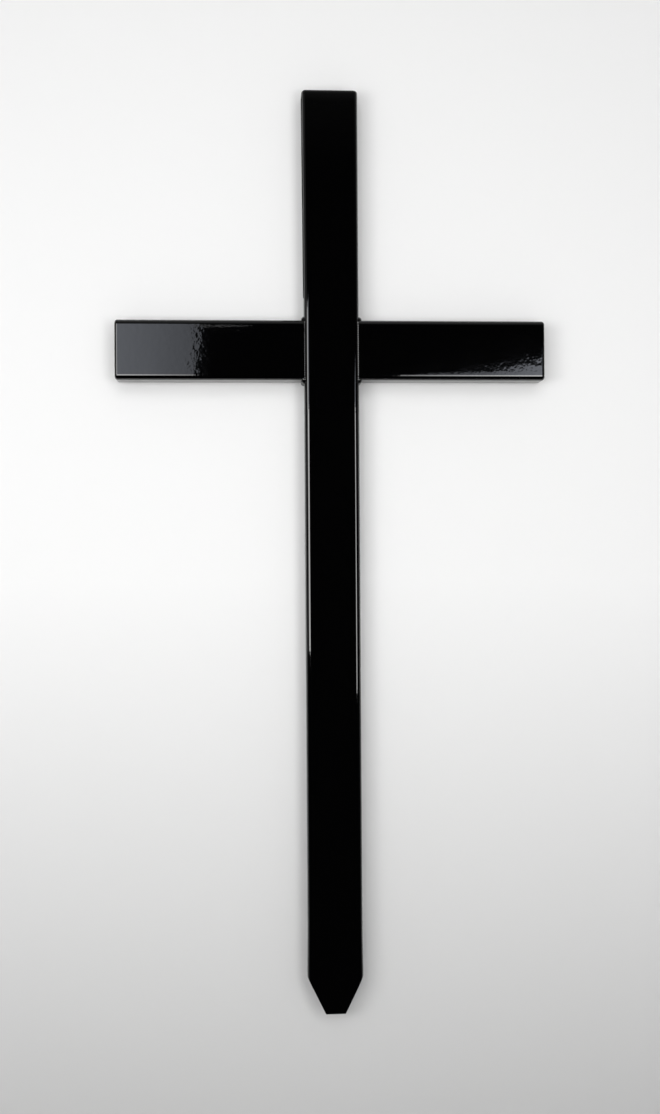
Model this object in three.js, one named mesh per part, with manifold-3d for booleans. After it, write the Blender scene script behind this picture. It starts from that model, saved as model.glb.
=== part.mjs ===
// A steel grave cross: a post of rectangular tube that runs through, two arms of tube welded to its
// narrow sides, plates that close the three upper ends, and a truncated point that goes in the ground.
// Millimetres. +Z is up, +X is the right arm, and the front faces -Y.
// The origin is the centre of the point's flat underside.

import * as THREE from 'three';
import { mergeVertices } from 'three/addons/utils/BufferGeometryUtils.js';
import Module from 'manifold-3d';

// Overall sizes
const overallHeight = 855;
const overallSpan = 399;
const armCentreHeight = 614;

// The tube
const postWidth = 50.8;
const armFaceHeight = 55.4;
const tubeDepth = 25.4;
const wallThickness = 2.1;
const cornerRadius = 4.5;

// The point
const pointHeight = 33;
const tipWidth = 18.3;
const tipPlateThickness = 3;

// The plates over the three upper ends
const capThickness = 3;
const capEdgeRadius = 2.4;

// Gap left between two pieces that meet
const fitClearance = 0.3;

// Facets of a quarter round, on the tubes and on the ground edges of the plates
const cornerFacets = 8;
const capEdgeFacets = 5;

// Derived sizes
const boreCornerRadius = Math.max(cornerRadius - wallThickness, fitClearance);
const pointSlope = (postWidth - tipWidth) / 2 / pointHeight;
const overcut = cornerRadius + wallThickness;

// Points nearer than this are one
const sharedPointTolerance = 1e-4;

const wasm = await Module();
wasm.setup();

function toSolid(geometry) {
  const bare = geometry.clone();
  bare.deleteAttribute('normal');
  bare.deleteAttribute('uv');
  const merged = mergeVertices(bare, sharedPointTolerance);
  return new wasm.Manifold(new wasm.Mesh({
    numProp: 3,
    vertProperties: new Float32Array(merged.attributes.position.array),
    triVerts: new Uint32Array(merged.index.array),
  }));
}

function toGeometry(solid) {
  const mesh = solid.getMesh();
  const geometry = new THREE.BufferGeometry();
  geometry.setAttribute('position', new THREE.BufferAttribute(new Float32Array(mesh.vertProperties), 3));
  geometry.setIndex(new THREE.BufferAttribute(new Uint32Array(mesh.triVerts), 1));
  geometry.computeVertexNormals();
  return geometry;
}

// A block between two corners, used to trim a piece to length.
function block(low, high) {
  const size = new THREE.Vector3().subVectors(high, low);
  const centre = new THREE.Vector3().addVectors(low, high).multiplyScalar(0.5);
  const geometry = new THREE.BoxGeometry(size.x, size.y, size.z);
  geometry.translate(centre.x, centre.y, centre.z);
  return toSolid(geometry);
}

function blockBetweenHeights(low, high) {
  const reach = overallSpan;
  return block(new THREE.Vector3(-reach, -reach, low), new THREE.Vector3(reach, reach, high));
}

// An outline seen from the front, given depth along Y, with a quarter round on every long edge.
function roundedSlab(outline, depth, edgeRadius) {
  const geometry = new THREE.ExtrudeGeometry(new THREE.Shape(outline), {
    depth: depth - 2 * edgeRadius,
    bevelEnabled: true,
    bevelThickness: edgeRadius,
    bevelSize: edgeRadius,
    bevelOffset: -edgeRadius,
    bevelSegments: cornerFacets,
  });
  geometry.translate(0, 0, edgeRadius - depth / 2);
  geometry.rotateX(Math.PI / 2);
  return toSolid(geometry);
}

// The post's front outline, moved in by the inset on every side.
// It runs past both ends, so that trimming leaves them square.
function postOutline(inset) {
  const half = postWidth / 2 - inset;
  const tipHalf = tipWidth / 2 - inset * Math.hypot(1, pointSlope);
  const shoulder = (half - tipHalf) / pointSlope;
  const low = -overcut;
  const lowHalf = tipHalf + pointSlope * low;
  const top = overallHeight + overcut;
  return [
    new THREE.Vector2(-lowHalf, low),
    new THREE.Vector2(lowHalf, low),
    new THREE.Vector2(half, shoulder),
    new THREE.Vector2(half, top),
    new THREE.Vector2(-half, top),
    new THREE.Vector2(-half, shoulder),
  ];
}

// A plain prism with the given outline, deeper than the tube, that cuts a shape out as seen from the front.
function frontCutter(outline) {
  const geometry = new THREE.ExtrudeGeometry(new THREE.Shape(outline), {
    depth: 2 * tubeDepth,
    bevelEnabled: false,
  });
  geometry.translate(0, 0, -tubeDepth);
  geometry.rotateX(Math.PI / 2);
  return toSolid(geometry);
}

// Straight tube with its quarter rounds, cut to the point's outline. The cut edges stay sharp.
function pointedPost(inset, edgeRadius) {
  const half = postWidth / 2 - inset;
  const bottom = -overcut;
  const top = overallHeight + overcut;
  const straight = [
    new THREE.Vector2(-half, bottom),
    new THREE.Vector2(half, bottom),
    new THREE.Vector2(half, top),
    new THREE.Vector2(-half, top),
  ];
  return roundedSlab(straight, tubeDepth - 2 * inset, edgeRadius).intersect(frontCutter(postOutline(inset)));
}

function postEnvelope(growth) {
  return pointedPost(-growth, cornerRadius + growth);
}

// The side walls are cut free and folded in at the shoulders, so they follow the point as slanted walls.
function postTube() {
  const bore = pointedPost(wallThickness, boreCornerRadius);
  const bottom = tipPlateThickness + fitClearance;
  const top = overallHeight - capThickness - fitClearance;
  return postEnvelope(0).subtract(bore).intersect(blockBetweenHeights(bottom, top));
}

// The flat foot of the point, with the point's own slanted sides.
function tipPlate() {
  return postEnvelope(0).intersect(blockBetweenHeights(0, tipPlateThickness));
}

function armOutline(inset) {
  const half = armFaceHeight / 2 - inset;
  const reach = overallSpan / 2 + overcut;
  return [
    new THREE.Vector2(-reach, armCentreHeight - half),
    new THREE.Vector2(reach, armCentreHeight - half),
    new THREE.Vector2(reach, armCentreHeight + half),
    new THREE.Vector2(-reach, armCentreHeight + half),
  ];
}

// One arm, lying along +X. Its inner end is shaped to the post's side.
function armTube() {
  const outside = roundedSlab(armOutline(0), tubeDepth, cornerRadius);
  const bore = roundedSlab(armOutline(wallThickness), tubeDepth - 2 * wallThickness, boreCornerRadius);
  const outerEnd = overallSpan / 2 - capThickness - fitClearance;
  const lengthKept = block(
    new THREE.Vector3(0, -tubeDepth, armCentreHeight - armFaceHeight),
    new THREE.Vector3(outerEnd, tubeDepth, armCentreHeight + armFaceHeight),
  );
  return outside.subtract(bore).intersect(lengthKept).subtract(postEnvelope(fitClearance));
}

function roundedRectangle(width, height, radius) {
  const x = width / 2 - radius;
  const y = height / 2 - radius;
  const shape = new THREE.Shape();
  shape.absarc(x, y, radius, 0, Math.PI / 2);
  shape.absarc(-x, y, radius, Math.PI / 2, Math.PI);
  shape.absarc(-x, -y, radius, Math.PI, 1.5 * Math.PI);
  shape.absarc(x, -y, radius, 1.5 * Math.PI, 2 * Math.PI);
  return shape;
}

// A plate over a tube's end, flat at z = 0 where it meets the tube, its outer edge ground round.
function endCap(faceWidth) {
  const edgeRadius = Math.min(capEdgeRadius, capThickness);
  const geometry = new THREE.ExtrudeGeometry(roundedRectangle(faceWidth, tubeDepth, cornerRadius), {
    depth: 2 * capThickness,
    curveSegments: cornerFacets,
    bevelEnabled: true,
    bevelThickness: edgeRadius,
    bevelSize: edgeRadius,
    bevelOffset: -edgeRadius,
    bevelSegments: capEdgeFacets,
  });
  geometry.translate(0, 0, -capThickness - edgeRadius);
  return toSolid(geometry).intersect(blockBetweenHeights(0, 2 * capThickness));
}

const glossBlack = { color: 0x060606, roughness: 0.12, metalness: 0.0 };

function makePiece(name, solid) {
  const piece = new THREE.Mesh(toGeometry(solid), new THREE.MeshStandardMaterial(glossBlack));
  piece.name = name;
  return piece;
}

function makePost() {
  const group = new THREE.Group();
  const cap = makePiece('top_cap', endCap(postWidth));
  cap.position.z = overallHeight - capThickness;
  group.add(makePiece('post', postTube()), makePiece('tip_plate', tipPlate()), cap);
  return group;
}

// An arm and its end plate, turned about the post's axis to the side it belongs to.
function makeArm(side, turn) {
  const group = new THREE.Group();
  const cap = makePiece(`${side}_end_cap`, endCap(armFaceHeight));
  cap.rotation.set(0, Math.PI / 2, 0);
  cap.position.set(overallSpan / 2 - capThickness, 0, armCentreHeight);
  group.add(makePiece(`${side}_arm`, armTube()), cap);
  group.rotation.z = turn;
  return group;
}

const graveCross = new THREE.Group();
graveCross.name = 'grave_cross';
graveCross.add(makePost(), makeArm('right', 0), makeArm('left', Math.PI));

export default graveCross;
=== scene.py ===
# %% [markdown]
# # A gloss black steel grave cross
# The real cross is welded from rectangular steel tube: one post with a cut-down point that goes into the
# ground, and two arms butted to its narrow sides. Flat plates close the three upper ends, and the whole
# thing is powder coated in deep gloss black. A black mirror has almost no colour of its own. Nearly all that
# the eye reads comes from shape, from the rounding of the edges and from what the paint reflects.
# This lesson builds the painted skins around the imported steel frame, then the paint, then the studio.

# %% Load the frame
import math
import bmesh
import bpy
from mathutils import Matrix, Vector


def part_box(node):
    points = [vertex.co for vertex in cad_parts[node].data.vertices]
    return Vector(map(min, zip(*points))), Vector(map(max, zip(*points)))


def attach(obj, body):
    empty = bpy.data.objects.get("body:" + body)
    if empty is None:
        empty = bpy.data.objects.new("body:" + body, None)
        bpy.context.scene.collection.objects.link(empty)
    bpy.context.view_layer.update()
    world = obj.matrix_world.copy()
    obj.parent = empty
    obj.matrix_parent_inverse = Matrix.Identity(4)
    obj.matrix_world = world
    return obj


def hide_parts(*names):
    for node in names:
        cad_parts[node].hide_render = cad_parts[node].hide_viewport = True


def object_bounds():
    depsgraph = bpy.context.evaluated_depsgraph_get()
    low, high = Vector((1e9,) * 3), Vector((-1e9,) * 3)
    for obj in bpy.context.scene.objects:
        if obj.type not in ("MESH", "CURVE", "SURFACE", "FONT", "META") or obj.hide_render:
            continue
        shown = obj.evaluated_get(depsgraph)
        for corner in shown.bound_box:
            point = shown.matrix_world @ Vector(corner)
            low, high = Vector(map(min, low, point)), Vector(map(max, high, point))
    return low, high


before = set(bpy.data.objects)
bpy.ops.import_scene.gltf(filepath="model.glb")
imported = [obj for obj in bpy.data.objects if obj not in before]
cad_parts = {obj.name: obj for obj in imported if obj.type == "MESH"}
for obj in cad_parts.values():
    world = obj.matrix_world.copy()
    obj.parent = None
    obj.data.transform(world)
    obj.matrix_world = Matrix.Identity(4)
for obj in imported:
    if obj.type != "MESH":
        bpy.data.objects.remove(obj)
cad_low, cad_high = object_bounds()
print("steel nodes:", sorted(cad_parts))
print("steel box in metres:", [round(v, 4) for v in cad_low], [round(v, 4) for v in cad_high])

# %% [markdown]
# ## Sizes
# Every skin takes its length and place from the steel node it covers, so nothing has to be fitted later.
# Only what a box can't tell is named here: how round the tube's corners are, and the slope of the point.

# %% Sizes of the tube and the point
MM = 0.001
post_low, post_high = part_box("post")
foot_low, foot_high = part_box("tip_plate")
top_cap_low, top_cap_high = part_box("top_cap")
arm_low, arm_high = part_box("right_arm")
end_cap_low, end_cap_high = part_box("right_end_cap")

POST_WIDTH = post_high.x - post_low.x
TUBE_DEPTH = post_high.y - post_low.y
ARM_FACE_HEIGHT = arm_high.z - arm_low.z
ARM_CENTRE = (arm_low.z + arm_high.z) / 2
SPAN = cad_high.x - cad_low.x
CORNER_RADIUS = 4.5 * MM
POINT_HEIGHT = 33.0 * MM
TIP_WIDTH = 18.3 * MM
print(f"post {POST_WIDTH / MM:.1f} x {TUBE_DEPTH / MM:.1f} mm, arm face {ARM_FACE_HEIGHT / MM:.1f} mm high")

# %% [markdown]
# ## Camera
# The camera stands a little to the left of the post and is turned back towards it, almost halfway up.
# Because the frame is upright, Blender measures the lens against the long side of the picture. The view is
# built from three turns, so that each can be read by itself: yaw, pitch and roll.

# %% Set up the camera
PICTURE_WIDTH, PICTURE_HEIGHT = 660, 1114
FOCAL_PIXELS = 1260.9
SENSOR_WIDTH_MM = 36.0
CAMERA_PLACE = Vector((-71.8, -1175.8, 420.3)) * MM
CAMERA_YAW = math.radians(3.393)
CAMERA_PITCH = math.radians(0.100)
CAMERA_ROLL = math.radians(-0.372)


def make_camera():
    data = bpy.data.cameras.new("camera")
    data.sensor_width = SENSOR_WIDTH_MM
    data.lens = data.sensor_width * FOCAL_PIXELS / max(PICTURE_WIDTH, PICTURE_HEIGHT)
    camera = bpy.data.objects.new("camera", data)
    turn = Matrix.Rotation(-CAMERA_YAW, 4, "Z")
    tilt = Matrix.Rotation(math.pi / 2 + CAMERA_PITCH, 4, "X")
    roll = Matrix.Rotation(CAMERA_ROLL, 4, "Z")
    camera.matrix_world = Matrix.Translation(CAMERA_PLACE) @ turn @ tilt @ roll
    bpy.context.scene.collection.objects.link(camera)
    bpy.context.scene.camera = camera
    return camera


camera = make_camera()
bpy.context.scene.view_settings.view_transform = "Standard"
print(f"lens {camera.data.lens:.2f} mm on the {camera.data.sensor_width:.0f} mm long side")

# %% [markdown]
# ## From a mesh to a finished piece
# Each piece is drawn in a bmesh, Blender's editable mesh. The same few steps end them all: merge doubles,
# turn the faces outwards, shade smooth and hand the piece to the frame. The Weighted Normal modifier keeps
# the broad faces of the tube optically flat. Without it the smooth shading would bend their reflections near
# the rounded corners, and on a black mirror that shows at once. Edges that turn more than a given angle,
# such as those around a butted end, are marked sharp. Then the hidden end face can't tilt the shading.

# %% Finish a piece
MERGE_DISTANCE = 0.001 * MM
SHARPEST_SMOOTH_EDGE = math.radians(40)
FULL_AREA_WEIGHT = 100


def finish_piece(bm, name, replaced=()):
    bmesh.ops.remove_doubles(bm, verts=bm.verts, dist=MERGE_DISTANCE)
    bmesh.ops.recalc_face_normals(bm, faces=bm.faces)
    mesh = bpy.data.meshes.new(name)
    bm.to_mesh(mesh)
    bm.free()
    mesh.shade_smooth()
    mesh.set_sharp_from_angle(angle=SHARPEST_SMOOTH_EDGE)
    piece = bpy.data.objects.new(name, mesh)
    bpy.context.scene.collection.objects.link(piece)
    flatter = piece.modifiers.new("flat faces", "WEIGHTED_NORMAL")
    flatter.mode = "FACE_AREA"
    flatter.weight = FULL_AREA_WEIGHT
    flatter.keep_sharp = True
    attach(piece, "root")
    if replaced:
        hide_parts(*replaced)
    print(f"{name}: {len(mesh.polygons)} faces, {tuple(round(d / MM, 1) for d in piece.dimensions)} mm")
    return piece


print(f"an edge that turns by more than {math.degrees(SHARPEST_SMOOTH_EDGE):.0f} degrees stays sharp")

# %% [markdown]
# ## A rounded tube section
# Rectangular tube is rolled from strip, so its corners are quarter rounds. The section starts as one square
# face. A vertex bevel with a profile of 0.5 rounds its corners, and the long edges get a few cuts so that
# the drawn-out walls have enough faces to take a shape. Then the face is extruded from level to level, which
# leaves a ring of vertices at each one. The face is passed with its edges. Only then does the extrusion know
# that walls already hang on them, and take the old face away instead of leaving it as a partition inside.

# %% Section and extrusion helpers
ROUND_PROFILE = 0.5
CORNER_SEGMENTS = 10
FLAT_SPACING = 3.5 * MM


def rounded_section(bm, width, depth, level):
    square = bmesh.ops.create_grid(bm, x_segments=1, y_segments=1, size=0.5)
    bmesh.ops.scale(bm, vec=(width, depth, 1), verts=square["verts"])
    bmesh.ops.translate(bm, vec=(0, 0, level), verts=square["verts"])
    bmesh.ops.bevel(
        bm, geom=square["verts"], affect="VERTICES", offset=CORNER_RADIUS, offset_type="OFFSET",
        segments=CORNER_SEGMENTS, profile=ROUND_PROFILE, material=-1,
    )
    for edge in [e for e in bm.edges if e.calc_length() > FLAT_SPACING]:
        cuts = round(edge.calc_length() / FLAT_SPACING) - 1
        bmesh.ops.subdivide_edges(bm, edges=[edge], cuts=cuts)
    return bm.faces[:][0]


def draw_out(bm, face, levels):
    for level in levels:
        made = bmesh.ops.extrude_face_region(bm, geom=[face] + face.edges[:])
        face = [g for g in made["geom"] if isinstance(g, bmesh.types.BMFace)][0]
        rise = level - face.verts[0].co.z
        bmesh.ops.translate(bm, vec=(0, 0, rise), verts=face.verts)
    return face


def even_levels(low, high, step):
    count = max(1, round((high - low) / step))
    return [low + (high - low) * i / count for i in range(1, count + 1)]


trial = bmesh.new()
rounded_section(trial, POST_WIDTH, TUBE_DEPTH, 0)
print("points round the post's section:", len(trial.verts))
trial.free()

# %% [markdown]
# ## Grinding and sawing
# Two more tools shape the drawn tube. Beveling the loop around an end rounds it the way a grinder does. The
# bevel's width is its radius, and a few segments make it read as round. Sawing cuts the mesh with a plane,
# throws away what lies on the plane's far side and fills the opening. A member is drawn in one length,
# ground and only then sawn apart at the seams of the steel, so the paint runs on across them without a step.

# %% Grind and saw
END_SEGMENTS = 6
NEAR = 0.01 * MM
PAST_END = 10 * MM


def grind_end(bm, level, radius):
    loop = [e for e in bm.edges if all(abs(v.co.z - level) < NEAR for v in e.verts)]
    bmesh.ops.bevel(
        bm, geom=loop, affect="EDGES", offset=radius, offset_type="OFFSET",
        segments=END_SEGMENTS, profile=ROUND_PROFILE, material=-1, clamp_overlap=False,
    )


def saw(bm, place, towards_waste):
    everything = bm.verts[:] + bm.edges[:] + bm.faces[:]
    bmesh.ops.bisect_plane(
        bm, geom=everything, dist=MERGE_DISTANCE, plane_co=place, plane_no=towards_waste, clear_outer=True
    )
    opening = [e for e in bm.edges if e.is_boundary]
    bmesh.ops.holes_fill(bm, edges=opening, sides=0)


def keep_between(bm, low, high):
    saw(bm, (0, 0, low), (0, 0, -1))
    saw(bm, (0, 0, high), (0, 0, 1))


trial = bmesh.new()
draw_out(trial, rounded_section(trial, POST_WIDTH, TUBE_DEPTH, 0), [POST_WIDTH])
keep_between(trial, PAST_END, POST_WIDTH - PAST_END)
print("faces of a length sawn off at both ends:", len(trial.faces))
trial.free()

# %% [markdown]
# ## What the workshop leaves on the post
# To make the point, the post's two narrow walls are cut free, folded in at the shoulders and welded to the
# cut edges of the wide walls, which are then ground to crisp corners. Such a fold pushes the side out by
# half a millimetre just above itself. At the top the grinder has taken the wide faces back a little, which
# shows as a paler band below the plate. And above the arms the left narrow wall stands out by a millimetre
# towards the top. Each of the three is a small push on the vertices, and all of them keep the faces smooth.

# %% Small pushes on the post's vertices
FOLD_SWELLING, FOLD_REACH = 0.5 * MM, 30 * MM
GROUND_BACK, GROUND_REACH, GROUND_CURVE = 0.5 * MM, 12 * MM, 2.5
LEAN_OUT, LEAN_REACH = 1.0 * MM, 190 * MM
POST_FLAT = POST_WIDTH / 2 - CORNER_RADIUS


def share_of_way_up(vert, reach):
    start = top_cap_high.z - reach
    return max(vert.co.z - start, 0) / reach


def ease_back_top(bm):
    for vert in bm.verts:
        vert.co.y *= 1 - GROUND_BACK / (TUBE_DEPTH / 2) * share_of_way_up(vert, GROUND_REACH) ** GROUND_CURVE


def swell_above_fold(bm):
    for vert in bm.verts:
        above = max(vert.co.z - POINT_HEIGHT, 0)
        push = FOLD_SWELLING * math.exp(-((above / FOLD_REACH) ** 2))
        vert.co.x += push * max(-1, min(1, vert.co.x / POST_FLAT))


def lean_left_side(bm):
    for vert in bm.verts:
        push = LEAN_OUT * share_of_way_up(vert, LEAN_REACH)
        vert.co.x += push * max(-1, min(0, vert.co.x / POST_FLAT))


print(f"swelling {FOLD_SWELLING / MM} mm, ground back {GROUND_BACK / MM} mm, lean {LEAN_OUT / MM} mm")

# %% [markdown]
# ## The post
# The post runs through from the point to the top. It is drawn straight and ground at the top, pushed into
# its small irregularities, sawn along the two slanted planes of the point and given a fine bevel along the
# sawn edges. Its rings lie close together where the shape changes and far apart where the tube is plain.

# %% Draw the whole post
POINT_SLOPE = (POST_WIDTH - TIP_WIDTH) / 2 / POINT_HEIGHT
SWELLING_END = POINT_HEIGHT + 3 * FOLD_REACH
CAP_EDGE_RADIUS = 2.6 * MM
GROUND_START = top_cap_high.z - GROUND_REACH
BELOW_BEVEL = top_cap_high.z - 1.2 * CAP_EDGE_RADIUS
RING_STEPS = [
    (foot_low.z, POINT_HEIGHT, 8 * MM),
    (POINT_HEIGHT, SWELLING_END, 3 * MM),
    (SWELLING_END, GROUND_START, 15 * MM),
    (GROUND_START, BELOW_BEVEL, 1.2 * MM),
]
CUT_EDGE_RADIUS = 0.4 * MM
CUT_EDGE_SEGMENTS = 3
CUT_EDGE_TURN = math.radians(15)
CUT_EDGES_BELOW = POINT_HEIGHT + 2 * MM


def draw_post():
    bm = bmesh.new()
    face = rounded_section(bm, POST_WIDTH, TUBE_DEPTH, foot_low.z)
    levels = [level for run in RING_STEPS for level in even_levels(*run)]
    draw_out(bm, face, levels + [top_cap_high.z])
    grind_end(bm, top_cap_high.z, CAP_EDGE_RADIUS)
    ease_back_top(bm)
    swell_above_fold(bm)
    lean_left_side(bm)
    for side in (-1, 1):
        saw(bm, (side * TIP_WIDTH / 2, 0, 0), (side, 0, -POINT_SLOPE))
    soften_cut_edges(bm)
    return bm


def soften_cut_edges(bm):
    bm.normal_update()
    cut = []
    for edge in bm.edges:
        low = min(v.co.z for v in edge.verts) < CUT_EDGES_BELOW
        off_centre = max(abs(v.co.x) for v in edge.verts) > NEAR
        if low and off_centre and edge.calc_face_angle(0) > CUT_EDGE_TURN:
            cut.append(edge)
    bmesh.ops.bevel(
        bm, geom=cut, affect="EDGES", offset=CUT_EDGE_RADIUS, offset_type="OFFSET",
        segments=CUT_EDGE_SEGMENTS, profile=ROUND_PROFILE, material=-1, clamp_overlap=True,
    )
    for vert in bm.verts:
        vert.co.y = max(-TUBE_DEPTH / 2, min(TUBE_DEPTH / 2, vert.co.y))


trial = draw_post()
open_edges = [e for e in trial.edges if e.is_boundary]
print("faces of the whole post:", len(trial.faces), "and open edges:", len(open_edges))
trial.free()

# %% [markdown]
# ## The post's three pieces
# The steel has three solids here: the foot plate, the tube and the top plate. So the whole skin is drawn
# three times and each time sawn down to one of them. The cuts lie at the inner faces of the two plates.

# %% Saw the post's skin into its three pieces
def make_post_piece(name, node, low, high):
    bm = draw_post()
    keep_between(bm, low, high)
    return finish_piece(bm, name, [node])


post = make_post_piece("painted_post", "post", foot_high.z, top_cap_low.z)
foot = make_post_piece("painted_foot", "tip_plate", -PAST_END, foot_high.z)
top_cap = make_post_piece("painted_top_cap", "top_cap", top_cap_low.z, cad_high.z + PAST_END)

# %% [markdown]
# ## The arms
# An arm is the same tube with a taller face. It is drawn upright around the origin, because that is where
# the helpers work, sawn into arm and end plate, then turned about Y and moved so that it lies along X. The
# left arm is the right one turned half round the post.

# %% Build the arms and their end plates
ARM_STEP = 12 * MM


def turn_to_side(bm, side):
    if side == "left":
        bmesh.ops.rotate(bm, verts=bm.verts, cent=(0, 0, 0), matrix=Matrix.Rotation(math.pi, 3, "Z"))


def make_arm_piece(side, name, node, low, high):
    bm = bmesh.new()
    face = rounded_section(bm, ARM_FACE_HEIGHT, TUBE_DEPTH, POST_WIDTH / 2)
    draw_out(bm, face, even_levels(POST_WIDTH / 2, end_cap_high.x, ARM_STEP))
    grind_end(bm, end_cap_high.x, CAP_EDGE_RADIUS)
    keep_between(bm, low, high)
    bmesh.ops.rotate(bm, verts=bm.verts, cent=(0, 0, 0), matrix=Matrix.Rotation(math.pi / 2, 3, "Y"))
    bmesh.ops.translate(bm, verts=bm.verts, vec=(0, 0, ARM_CENTRE))
    turn_to_side(bm, side)
    return finish_piece(bm, name, [node])


arms = []
end_caps = []
for side in ("right", "left"):
    arms.append(make_arm_piece(
        side, f"painted_{side}_arm", f"{side}_arm", -PAST_END, end_cap_low.x
    ))
    end_caps.append(make_arm_piece(
        side, f"painted_{side}_end_cap", f"{side}_end_cap",
        end_cap_low.x, end_cap_high.x + PAST_END,
    ))

# %% [markdown]
# ## The path of a weld
# Where an arm meets the post the welder ran one bead all round it. Its path is the arm's outline: four
# straight runs joined by quarter rounds. At each point the bead also needs to know which way is outwards.

# %% Follow the arm's outline
FLAT_Y = TUBE_DEPTH / 2 - CORNER_RADIUS
FLAT_Z = ARM_FACE_HEIGHT / 2 - CORNER_RADIUS
QUARTER_TURN = math.pi / 2
QUARTER_LENGTH = QUARTER_TURN * CORNER_RADIUS
WELD_LENGTH = 4 * (FLAT_Y + FLAT_Z + QUARTER_LENGTH)


def weld_path(along):
    """Place and outward direction, as (y, z), after the given way round the arm's outline."""
    centres = [Vector((y, z)) for y, z in (
        (FLAT_Y, -FLAT_Z), (FLAT_Y, FLAT_Z), (-FLAT_Y, FLAT_Z), (-FLAT_Y, -FLAT_Z)
    )]
    for turn in range(4):
        angle = turn * QUARTER_TURN
        flat_length = (2 * FLAT_Z, 2 * FLAT_Y)[turn % 2]
        if along <= flat_length:
            outward = Vector((math.cos(angle), math.sin(angle)))
            forward = Vector((-outward.y, outward.x))
            return centres[turn] + outward * CORNER_RADIUS + forward * along, outward
        along -= flat_length
        if along <= QUARTER_LENGTH:
            angle += along / CORNER_RADIUS
            outward = Vector((math.cos(angle), math.sin(angle)))
            return centres[(turn + 1) % 4] + outward * CORNER_RADIUS, outward
        along -= QUARTER_LENGTH
    return centres[0] + Vector((CORNER_RADIUS, 0)), Vector((1, 0))


print(f"way round an arm: {WELD_LENGTH / MM:.1f} mm")

# %% [markdown]
# ## The welds
# On the arm's top and underside the bead is a small fillet in the corner. At the front and the back it lies
# in the groove that the post's rounded corner leaves, a little below the faces. A bead is a row of
# overlapping scallops, one for each step of the torch. Rings of a circle are set along the path and joined
# with bridge_loops.

# %% Build the welds
BEAD_RADIUS = 2.7 * MM
BEAD_PITCH = 1.7 * MM
BEAD_RIPPLE = 0.07
BEAD_SIDES = 12
STEPS_PER_PITCH = 4
GROOVE_DEPTH = 3.7 * MM
FILLET_OUT = 0.6 * MM
FILLET_SHARPNESS = 4


def make_weld(side):
    bm = bmesh.new()
    count = round(WELD_LENGTH / BEAD_PITCH) * STEPS_PER_PITCH
    edges = []
    for step in range(count):
        place, outward = weld_path(step / count * WELD_LENGTH)
        upward = outward.y ** FILLET_SHARPNESS
        sunk = GROOVE_DEPTH * (1 - upward) - FILLET_OUT * upward
        centre = place - outward * sunk
        phase = (step % STEPS_PER_PITCH) / STEPS_PER_PITCH
        radius = BEAD_RADIUS * (1 - BEAD_RIPPLE * (1 - math.sin(math.pi * phase)))
        ring = bmesh.ops.create_circle(bm, cap_ends=False, radius=radius, segments=BEAD_SIDES)
        across = Vector((0, outward.x, outward.y))
        along = Vector((0, -outward.y, outward.x))
        ring_axes = Matrix((Vector((1, 0, 0)), across, along)).transposed()
        bmesh.ops.rotate(bm, verts=ring["verts"], cent=(0, 0, 0), matrix=ring_axes)
        spot = Vector((POST_WIDTH / 2, centre.x, ARM_CENTRE + centre.y))
        bmesh.ops.translate(bm, verts=ring["verts"], vec=spot)
        edges.append(list({e for v in ring["verts"] for e in v.link_edges}))
    for step in range(count):
        bmesh.ops.bridge_loops(bm, edges=edges[step] + edges[(step + 1) % count])
    turn_to_side(bm, side)
    return finish_piece(bm, f"{side}_weld")


welds = [make_weld(side) for side in ("right", "left")]

# %% [markdown]
# ## Small helpers for shader nodes
# Shader trees are wired node by node. A few short functions keep that readable: one adds a named socket to a
# group, one makes a link, and the others add a node and return the output that matters.

# %% Node helpers
def add_socket(group, name, in_out, value=None, kind="NodeSocketFloat"):
    socket = group.interface.new_socket(name=name, in_out=in_out, socket_type=kind)
    if value is not None:
        socket.default_value = value
    return socket


def link(tree, out_socket, in_socket):
    tree.links.new(out_socket, in_socket)


def feed(tree, value, socket):
    """A number is set on the socket itself, and an output is linked to it."""
    if isinstance(value, (int, float)):
        socket.default_value = value
    else:
        link(tree, value, socket)


def math_node(tree, operation, first, second):
    node = tree.nodes.new("ShaderNodeMath")
    node.operation = operation
    feed(tree, first, node.inputs[0])
    feed(tree, second, node.inputs[1])
    return node.outputs["Value"]


def noise_node(tree, vector, scale, detail, roughness=0.5):
    node = tree.nodes.new("ShaderNodeTexNoise")
    link(tree, vector, node.inputs["Vector"])
    feed(tree, scale, node.inputs["Scale"])
    node.inputs["Detail"].default_value = detail
    node.inputs["Roughness"].default_value = roughness
    return node.outputs["Fac"]


def map_range(tree, value, low, high, to_low, to_high, blend="SMOOTHSTEP"):
    node = tree.nodes.new("ShaderNodeMapRange")
    node.interpolation_type = blend
    link(tree, value, node.inputs["Value"])
    for name, given in (("From Min", low), ("From Max", high), ("To Min", to_low), ("To Max", to_high)):
        feed(tree, given, node.inputs[name])
    return node.outputs["Result"]


def place_along(tree, axis):
    """One coordinate of the place on the object, in metres."""
    place = tree.nodes.new("ShaderNodeTexCoord").outputs["Object"]
    split = tree.nodes.new("ShaderNodeSeparateXYZ")
    link(tree, place, split.inputs["Vector"])
    return split.outputs[axis]


node_helpers = (add_socket, link, feed, math_node, noise_node, map_range, place_along)
print("helpers:", [helper.__name__ for helper in node_helpers])

# %% [markdown]
# ## The paint
# Baked powder coat flows out into a hard glossy film, but never quite flat. It keeps a fine dimpled skin
# that painters call orange peel, and a slower roll where it sagged or where the tube itself is uneven. Both
# are only hundredths of a millimetre deep, too little for the mesh, yet they tear the edges of every
# reflection. So they are bump, made once in a node group that each paint uses with its own depths.

# %% Orange peel group
PEEL_DETAIL, ROLL_DETAIL = 1.0, 0.0


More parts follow.
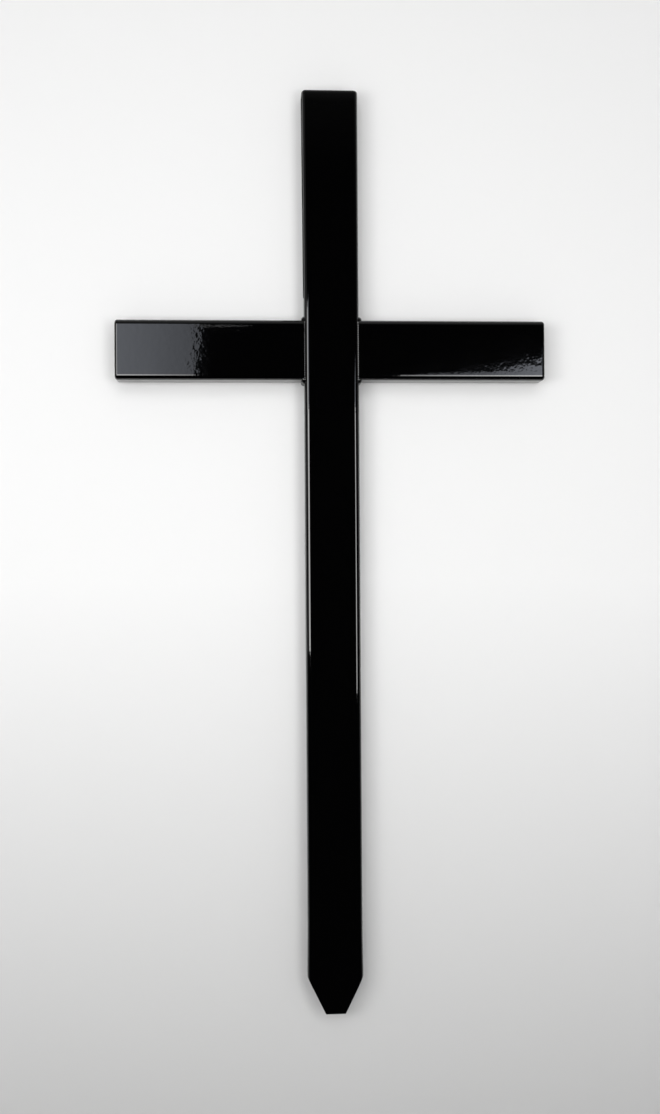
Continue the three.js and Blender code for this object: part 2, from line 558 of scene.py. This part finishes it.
def make_peel_group():
    group = bpy.data.node_groups.new("orange peel", "ShaderNodeTree")
    add_socket(group, "Peel Size", "INPUT", 3.6 * MM)
    add_socket(group, "Peel Depth", "INPUT", 0.012 * MM)
    add_socket(group, "Roll Size", "INPUT", 26 * MM)
    add_socket(group, "Roll Depth", "INPUT", 0.03 * MM)
    add_socket(group, "Normal", "OUTPUT", kind="NodeSocketVector")
    inside = group.nodes.new("NodeGroupInput")
    outside = group.nodes.new("NodeGroupOutput")
    place = group.nodes.new("ShaderNodeTexCoord").outputs["Object"]
    heights = []
    for kind, detail in (("Peel", PEEL_DETAIL), ("Roll", ROLL_DETAIL)):
        scale = math_node(group, "DIVIDE", 1.0, inside.outputs[f"{kind} Size"])
        bumps = noise_node(group, place, scale, detail)
        heights.append(math_node(group, "MULTIPLY", bumps, inside.outputs[f"{kind} Depth"]))
    bump = group.nodes.new("ShaderNodeBump")
    bump.inputs["Strength"].default_value = 1.0
    bump.inputs["Distance"].default_value = 1.0
    link(group, math_node(group, "ADD", heights[0], heights[1]), bump.inputs["Height"])
    link(group, bump.outputs["Normal"], outside.inputs["Normal"])
    return group


peel_group = make_peel_group()
print("group:", peel_group.name, [s.name for s in peel_group.interface.items_tree])

# %% [markdown]
# ## Haze and dust
# A clean gloss still isn't even. Handling leaves faint soft patches, and dust settles as fine pale grains.
# The second group gives a roughness that drifts between two values and a dust mask. Both stay very slight,
# because the real cross is new.

# %% Haze group
PATCH_DETAIL, PATCH_ROUGHNESS = 4.0, 0.6
PATCH_FROM, PATCH_TO = 0.35, 0.7
GRAIN_DETAIL = 2.0
GRAIN_FROM, GRAIN_TO = 0.72, 0.80


def make_haze_group():
    group = bpy.data.node_groups.new("handling haze", "ShaderNodeTree")
    add_socket(group, "Patch Size", "INPUT", 60 * MM)
    add_socket(group, "Clean Roughness", "INPUT", 0.03)
    add_socket(group, "Hazy Roughness", "INPUT", 0.06)
    add_socket(group, "Grain Size", "INPUT", 0.9 * MM)
    add_socket(group, "Roughness", "OUTPUT")
    add_socket(group, "Dust", "OUTPUT")
    inside = group.nodes.new("NodeGroupInput")
    outside = group.nodes.new("NodeGroupOutput")
    place = group.nodes.new("ShaderNodeTexCoord").outputs["Object"]
    patch_scale = math_node(group, "DIVIDE", 1.0, inside.outputs["Patch Size"])
    patches = noise_node(group, place, patch_scale, PATCH_DETAIL, PATCH_ROUGHNESS)
    roughness = map_range(
        group, patches, PATCH_FROM, PATCH_TO,
        inside.outputs["Clean Roughness"], inside.outputs["Hazy Roughness"],
    )
    grain_scale = math_node(group, "DIVIDE", 1.0, inside.outputs["Grain Size"])
    grains = noise_node(group, place, grain_scale, GRAIN_DETAIL)
    dust = map_range(group, grains, GRAIN_FROM, GRAIN_TO, 0.0, 1.0)
    link(group, roughness, outside.inputs["Roughness"])
    link(group, dust, outside.inputs["Dust"])
    return group


haze_group = make_haze_group()
print("group:", haze_group.name, [s.name for s in haze_group.interface.items_tree])

# %% [markdown]
# ## Five paints from the same pot
# The post, the arms, the plates, the point and the welds are coated together, but the powder lies
# differently on each: flattest on the point and the post, heavier over the arms and the ground plates, and
# slightly duller on the point and the welds.

# %% Paint materials
DEEP_BLACK = (0.0005, 0.0005, 0.0006, 1.0)
DUST_GREY = (0.0040, 0.0040, 0.0040, 1.0)
PAINT_IOR = 1.5


def make_paint(name, peel_depth, roll_depth, clean, hazy):
    material = bpy.data.materials.new(name)
    material.use_nodes = True
    tree = material.node_tree
    shader = tree.nodes["Principled BSDF"]
    shader.inputs["IOR"].default_value = PAINT_IOR
    peel = tree.nodes.new("ShaderNodeGroup")
    peel.node_tree = peel_group
    peel.inputs["Peel Depth"].default_value = peel_depth
    peel.inputs["Roll Depth"].default_value = roll_depth
    haze = tree.nodes.new("ShaderNodeGroup")
    haze.node_tree = haze_group
    haze.inputs["Clean Roughness"].default_value = clean
    haze.inputs["Hazy Roughness"].default_value = hazy
    colour = tree.nodes.new("ShaderNodeMix")
    colour.data_type = "RGBA"
    colour.inputs["A"].default_value = DEEP_BLACK
    colour.inputs["B"].default_value = DUST_GREY
    link(tree, haze.outputs["Dust"], colour.inputs["Factor"])
    link(tree, colour.outputs["Result"], shader.inputs["Base Color"])
    link(tree, haze.outputs["Roughness"], shader.inputs["Roughness"])
    link(tree, peel.outputs["Normal"], shader.inputs["Normal"])
    return material


# Name, peel depth, roll depth, clean roughness, hazy roughness, and the pieces that wear it.
for name, peel_depth, roll_depth, clean, hazy, pieces in (
    ("gloss black on the post", 0.016 * MM, 0.050 * MM, 0.03, 0.05, [post]),
    ("gloss black on the arms", 0.030 * MM, 0.070 * MM, 0.03, 0.05, arms),
    ("gloss black over ground plates", 0.024 * MM, 0.070 * MM, 0.04, 0.07, [top_cap] + end_caps),
    ("gloss black on the point", 0.014 * MM, 0.040 * MM, 0.05, 0.10, [foot]),
    ("gloss black over the welds", 0.020 * MM, 0.040 * MM, 0.05, 0.09, welds),
):
    paint = make_paint(name, peel_depth, roll_depth, clean, hazy)
    for piece in pieces:
        piece.data.materials.append(paint)
    print(f"{name}: {[piece.name for piece in pieces]}")

# %% [markdown]
# ## Backdrop
# The cross hangs flat against a pale backdrop, which catches its soft shadows. Towards the floor its colour
# fades to grey. That grey is painted shade: it stands in for the light falling off lower down. From behind,
# the backdrop would hide the cross, so its material is see-through on the side that faces away. The plane is
# also left open where the post and the arms cover it, which lets the studio reach the cross's back.

# %% Build the backdrop
WALL_GAP = 0.3 * MM
FLOOR_LEVEL = -0.50
WALL_REACH = 3.0
# Painted shade: the wall's colour darkens from white to grey towards the floor, in place of the light
# falling off.
WALL_WHITE = (0.87, 0.87, 0.87, 1.0)
WALL_PAINTED_SHADE_GREY = (0.54, 0.54, 0.54, 1.0)
PAINTED_SHADE_START_Z, PAINTED_SHADE_FULL_Z = 0.40, -0.13
WALL_ROUGHNESS, FLOOR_ROUGHNESS = 0.9, 0.8
DULL_SPECULAR = 0.2


def link_stage(bm, name, material):
    mesh = bpy.data.meshes.new(name)
    bm.to_mesh(mesh)
    bm.free()
    mesh.materials.append(material)
    thing = bpy.data.objects.new(name, mesh)
    bpy.context.scene.collection.objects.link(thing)
    return thing


def make_wall_material():
    material = bpy.data.materials.new("pale wall")
    material.use_nodes = True
    tree = material.node_tree
    shader = tree.nodes["Principled BSDF"]
    shader.inputs["Roughness"].default_value = WALL_ROUGHNESS
    shader.inputs["Specular IOR Level"].default_value = DULL_SPECULAR
    # Painted shade: the colour is mixed from white to grey by height, darker towards the floor.
    painted_shade_mix = tree.nodes.new("ShaderNodeMix")
    painted_shade_mix.data_type = "RGBA"
    painted_shade_mix.inputs["A"].default_value = WALL_WHITE
    painted_shade_mix.inputs["B"].default_value = WALL_PAINTED_SHADE_GREY
    share = map_range(tree, place_along(tree, "Z"), PAINTED_SHADE_START_Z, PAINTED_SHADE_FULL_Z, 0.0, 1.0, "LINEAR")
    link(tree, share, painted_shade_mix.inputs["Factor"])
    link(tree, painted_shade_mix.outputs["Result"], shader.inputs["Base Color"])
    clear = tree.nodes.new("ShaderNodeBsdfTransparent")
    facing = tree.nodes.new("ShaderNodeNewGeometry")
    either = tree.nodes.new("ShaderNodeMixShader")
    link(tree, facing.outputs["Backfacing"], either.inputs["Fac"])
    link(tree, shader.outputs["BSDF"], either.inputs[1])
    link(tree, clear.outputs["BSDF"], either.inputs[2])
    link(tree, either.outputs["Shader"], tree.nodes["Material Output"].inputs["Surface"])
    return material


def cut(bm, place, direction):
    bmesh.ops.bisect_plane(
        bm, geom=bm.verts[:] + bm.edges[:] + bm.faces[:], plane_co=place, plane_no=direction
    )


def make_wall():
    bm = bmesh.new()
    bmesh.ops.create_grid(bm, x_segments=1, y_segments=1, size=WALL_REACH)
    bmesh.ops.rotate(bm, verts=bm.verts, cent=(0, 0, 0), matrix=Matrix.Rotation(math.pi / 2, 3, "X"))
    middle = Vector((0, cad_high.y + WALL_GAP, FLOOR_LEVEL + WALL_REACH))
    bmesh.ops.translate(bm, verts=bm.verts, vec=middle)
    arm_end = SPAN / 2 - CORNER_RADIUS
    post_span = (POINT_HEIGHT + CORNER_RADIUS, cad_high.z - CORNER_RADIUS)
    arm_span = (arm_low.z + CORNER_RADIUS, arm_high.z - CORNER_RADIUS)
    for x in (-arm_end, -POST_FLAT, POST_FLAT, arm_end):
        cut(bm, (x, 0, 0), (1, 0, 0))
    for z in post_span + arm_span:
        cut(bm, (0, 0, z), (0, 0, 1))
    covered = []
    for face in bm.faces:
        spot = face.calc_center_median()
        behind_post = abs(spot.x) < POST_FLAT and post_span[0] < spot.z < post_span[1]
        behind_arms = abs(spot.x) < arm_end and arm_span[0] < spot.z < arm_span[1]
        if behind_post or behind_arms:
            covered.append(face)
    bmesh.ops.delete(bm, geom=covered, context="FACES")
    for face in bm.faces:
        if face.normal.y > 0:
            face.normal_flip()
    return link_stage(bm, "wall", make_wall_material())


wall = make_wall()
print("wall faces:", len(wall.data.polygons))

# %% [markdown]
# ## Floor
# A plain pale floor lies below the picture's lower edge. The paint doesn't mirror it, because the lower part
# of the real cross reflects nothing bright.

# %% Build the floor
FLOOR_WHITE = (0.72, 0.72, 0.71, 1.0)


def make_floor():
    bm = bmesh.new()
    bmesh.ops.create_grid(bm, x_segments=1, y_segments=1, size=2 * WALL_REACH)
    bmesh.ops.translate(bm, verts=bm.verts, vec=(0, 0, FLOOR_LEVEL))
    material = bpy.data.materials.new("pale floor")
    material.use_nodes = True
    shader = material.node_tree.nodes["Principled BSDF"]
    shader.inputs["Base Color"].default_value = FLOOR_WHITE
    shader.inputs["Roughness"].default_value = FLOOR_ROUGHNESS
    shader.inputs["Specular IOR Level"].default_value = DULL_SPECULAR
    return link_stage(bm, "floor", material)


floor = make_floor()
floor.visible_glossy = False
print("floor size in metres:", tuple(round(d, 1) for d in floor.dimensions))

# %% [markdown]
# ## Light for the wall
# Soft boxes stand to both sides of the camera, like two windows, and light the wall. From each of them the
# cross throws a narrow soft shadow to the other side, darkest where it touches the wall. How far such a
# shadow reaches tells how far out its window stands. A large box high in front evens out the wall. The boxes
# are kept out of the paint's reflections, which get cards of their own below, so the shadows and the gloss
# can be set apart from each other.

# %% Soft boxes
CARD_PLANE = -1.20
LEFT_EDGE, LEFT_CORNER, LEFT_FAR = (-0.180, CARD_PLANE), (-0.62, CARD_PLANE), (-0.92, -0.92)
RIGHT_EDGE, RIGHT_CORNER = (0.20, CARD_PLANE), (0.62, CARD_PLANE)
FRONT_LEFT, FRONT_RIGHT = (-0.80, -2.20), (0.80, -2.20)


def soft_box(name, left, right, bottom, top, radiance):
    """An upright panel above the line between two points of the floor plan, facing the cross."""
    left, right = Vector((*left, 0)), Vector((*right, 0))
    width, height = (right - left).length, top - bottom
    data = bpy.data.lights.new(name, "AREA")
    data.shape = "RECTANGLE"
    data.size, data.size_y = width, height
    data.energy = radiance * math.pi * width * height
    middle = (left + right) / 2
    upward = Vector((0, 0, 1))
    facing = (right - left).normalized().cross(upward)
    if facing.dot(middle) > 0:
        facing = -facing
    upright = Matrix((facing.cross(upward), upward, -facing)).transposed().to_4x4()
    box = bpy.data.objects.new(name, data)
    box.matrix_world = Matrix.Translation(middle + upward * (bottom + top) / 2) @ upright
    box.visible_camera = False
    box.visible_glossy = False
    bpy.context.scene.collection.objects.link(box)
    return box


# Name, left end, right end, bottom, top, radiance.
soft_boxes = [soft_box(*row) for row in (
    ("left box", LEFT_CORNER, LEFT_EDGE, 0.20, 0.75, 3.6),
    ("left side box", LEFT_FAR, LEFT_CORNER, 0.20, 0.75, 5.8),
    ("right box", RIGHT_EDGE, RIGHT_CORNER, 0.15, 0.75, 5.5),
    ("high front box", FRONT_LEFT, FRONT_RIGHT, 1.20, 2.20, 2.3),
)]
print("soft boxes:", [(box.name, f"{box.data.energy:.1f} W") for box in soft_boxes])

# %% [markdown]
# ## Cards for the gloss
# A black mirror is lit by what it reflects. Glowing cards around the camera draw the bright lines along the
# rounded corners and the grey fields on the outer halves of the arms. Between them the studio stays dark, so
# the faces stay black. A card is a flat outline that glows, brighter towards one of its ends, and only
# glossy rays see it. Its radiance is given in the picture's own unit, in which the wall is about 0.9. Paint
# mirrors only 4 percent of it face on, so a card that is to read as grey has to glow well above white.

# %% How a card is made
PLAIN = (1.0, 1.0, 1.0, 1.0)
COOL = (0.94, 0.99, 1.10, 1.0)


def make_glow(name, near, far, tint):
    """Near and far are each a place along X and the radiance there."""
    material = bpy.data.materials.new(name)
    material.use_nodes = True
    tree = material.node_tree
    tree.nodes.remove(tree.nodes["Principled BSDF"])
    emission = tree.nodes.new("ShaderNodeEmission")
    emission.inputs["Color"].default_value = tint
    ramp = map_range(tree, place_along(tree, "X"), near[0], far[0], near[1], far[1], "LINEAR")
    link(tree, ramp, emission.inputs["Strength"])
    link(tree, emission.outputs["Emission"], tree.nodes["Material Output"].inputs["Surface"])
    return material


def make_card(name, corners, near, far, tint=PLAIN):
    bm = bmesh.new()
    bm.faces.new([bm.verts.new(corner) for corner in corners])
    card = link_stage(bm, name, make_glow(name, near, far, tint))
    card.visible_camera = False
    card.visible_diffuse = False
    card.visible_shadow = False
    return card


def upright(left, right, bottom, top):
    return [(*left, bottom), (*right, bottom), (*right, top), (*left, top)]


print("cool tint:", COOL[:3])

# %% [markdown]
# ## Where the cards stand
# Each side has a low and a high window, which meet at a middle bar. The left ones go on round a corner, and
# a dim rear wall closes that side. A short rail carries the top edge on towards the middle. The right high
# window is cut off along a slope, which gives the right arm its grey wedge. A window behind the backdrop
# draws the highlights on the cross's back. The last card is dark. It stands for the shaded strip of wall
# beside the post's upper part, which the left narrow side mirrors.

# %% Set up the cards
LEFT_SILL, RIGHT_SILL, MIDDLE_BAR, WINDOW_TOP = 0.24, 0.165, 0.712, 0.915
SLOPE_LOW, SLOPE_HIGH = 0.728, 0.824
RAIL_BOTTOM, RAIL_TOP, RAIL_END = 0.868, 0.882, (-0.08, CARD_PLANE)
LEFT_REAR, SIDE_WALL_TOP = (-1.30, -0.10), 1.9
BACK_LEFT, BACK_RIGHT, BACK_SILL, BACK_TOP = (0.35, 1.20), (1.15, 0.55), -0.35, 0.45
SHADE_OUT = (-POST_WIDTH / 2 - 18 * MM, TUBE_DEPTH / 2 + 0.1 * MM)
SHADE_IN = (-POST_WIDTH / 2 + 1 * MM, TUBE_DEPTH / 2 + 0.1 * MM)
SHADE_BOTTOM, SHADE_TOP = arm_high.z + 25 * MM, 0.90
WEDGE = [
    (*RIGHT_EDGE, MIDDLE_BAR), (*RIGHT_CORNER, MIDDLE_BAR),
    (*RIGHT_CORNER, SLOPE_HIGH), (*RIGHT_EDGE, SLOPE_LOW),
]

# Name, outline, X and radiance at the near end, X and radiance at the far end, tint.
cards = [make_card(*row) for row in (
    ("left low window", upright(LEFT_CORNER, LEFT_EDGE, LEFT_SILL, MIDDLE_BAR), (-0.34, 11), (-0.19, 5)),
    ("left high window", upright(LEFT_CORNER, LEFT_EDGE, MIDDLE_BAR, WINDOW_TOP),
     (-0.34, 2.65), (-0.17, 1.42), COOL),
    ("left low side", upright(LEFT_FAR, LEFT_CORNER, LEFT_SILL, MIDDLE_BAR), (-0.9, 5), (-0.6, 8)),
    ("left high side", upright(LEFT_FAR, LEFT_CORNER, MIDDLE_BAR, WINDOW_TOP), (-0.9, 8), (-0.6, 8)),
    ("left rear wall", upright(LEFT_REAR, LEFT_FAR, MIDDLE_BAR, SIDE_WALL_TOP), (-1.3, 0.25), (-0.9, 0.25)),
    ("left rail", upright(LEFT_EDGE, RAIL_END, RAIL_BOTTOM, RAIL_TOP), (-0.18, 1.2), (-0.08, 0.8)),
    ("right low window", upright(RIGHT_EDGE, RIGHT_CORNER, RIGHT_SILL, MIDDLE_BAR), (0.20, 3.6), (0.46, 11)),
    ("right high window", WEDGE, (0.33, 1.3), (0.47, 3.3), COOL),
    ("rear window", upright(BACK_LEFT, BACK_RIGHT, BACK_SILL, BACK_TOP), (0.35, 1), (1.15, 3)),
    ("shaded wall", upright(SHADE_OUT, SHADE_IN, SHADE_BOTTOM, SHADE_TOP), (-1, 0.05), (0, 0.05)),
)]
print("cards:", [card.name for card in cards])

# %% [markdown]
# ## The room around
# The camera sees a pale room past the floor's edge, but the paint should not mirror it in front, where the
# real cross faces a dark room. So the world has three strengths. Camera rays get the pale one, and scattered
# light gets an even fill, which softens the shadows. Mirrored rays find it almost black ahead of the cross
# and below, rising to a soft grey at the sides and behind, and to a paler one overhead.

# %% World
WORLD_WHITE = (1, 1, 1, 1)
ROOM_SEEN = 0.80
ROOM_FILL = 0.40
ROOM_DARK = 0.005
ROOM_GREY = 0.12
ROOM_ABOVE = 0.40
DARKEST_WAY = (0, -0.9, -0.45)
GREY_UNTIL, DARK_FROM = 0.15, 0.55
OVERHEAD_FROM, OVERHEAD_TO = 0.3, 1.0


def make_world():
    world = bpy.data.worlds.new("studio room")
    bpy.context.scene.world = world
    world.use_nodes = True
    tree = world.node_tree
    tree.nodes.clear()
    direction = tree.nodes.new("ShaderNodeTexCoord").outputs["Generated"]
    ahead = tree.nodes.new("ShaderNodeVectorMath")
    ahead.operation = "DOT_PRODUCT"
    link(tree, direction, ahead.inputs[0])
    ahead.inputs[1].default_value = DARKEST_WAY
    around = map_range(tree, ahead.outputs["Value"], GREY_UNTIL, DARK_FROM, ROOM_GREY, ROOM_DARK)
    split = tree.nodes.new("ShaderNodeSeparateXYZ")
    link(tree, direction, split.inputs["Vector"])
    above = map_range(tree, split.outputs["Z"], OVERHEAD_FROM, OVERHEAD_TO, 0.0, ROOM_ABOVE, "LINEAR")
    mirrored = math_node(tree, "ADD", around, above)
    path = tree.nodes.new("ShaderNodeLightPath")
    filled = map_range(tree, path.outputs["Is Diffuse Ray"], 0.0, 1.0, mirrored, ROOM_FILL, "LINEAR")
    strength = map_range(tree, path.outputs["Is Camera Ray"], 0.0, 1.0, filled, ROOM_SEEN, "LINEAR")
    background = tree.nodes.new("ShaderNodeBackground")
    background.inputs["Color"].default_value = WORLD_WHITE
    link(tree, strength, background.inputs["Strength"])
    output = tree.nodes.new("ShaderNodeOutputWorld")
    link(tree, background.outputs["Background"], output.inputs["Surface"])
    return world


world = make_world()
print("world:", world.name, "with", len(world.node_tree.nodes), "nodes")
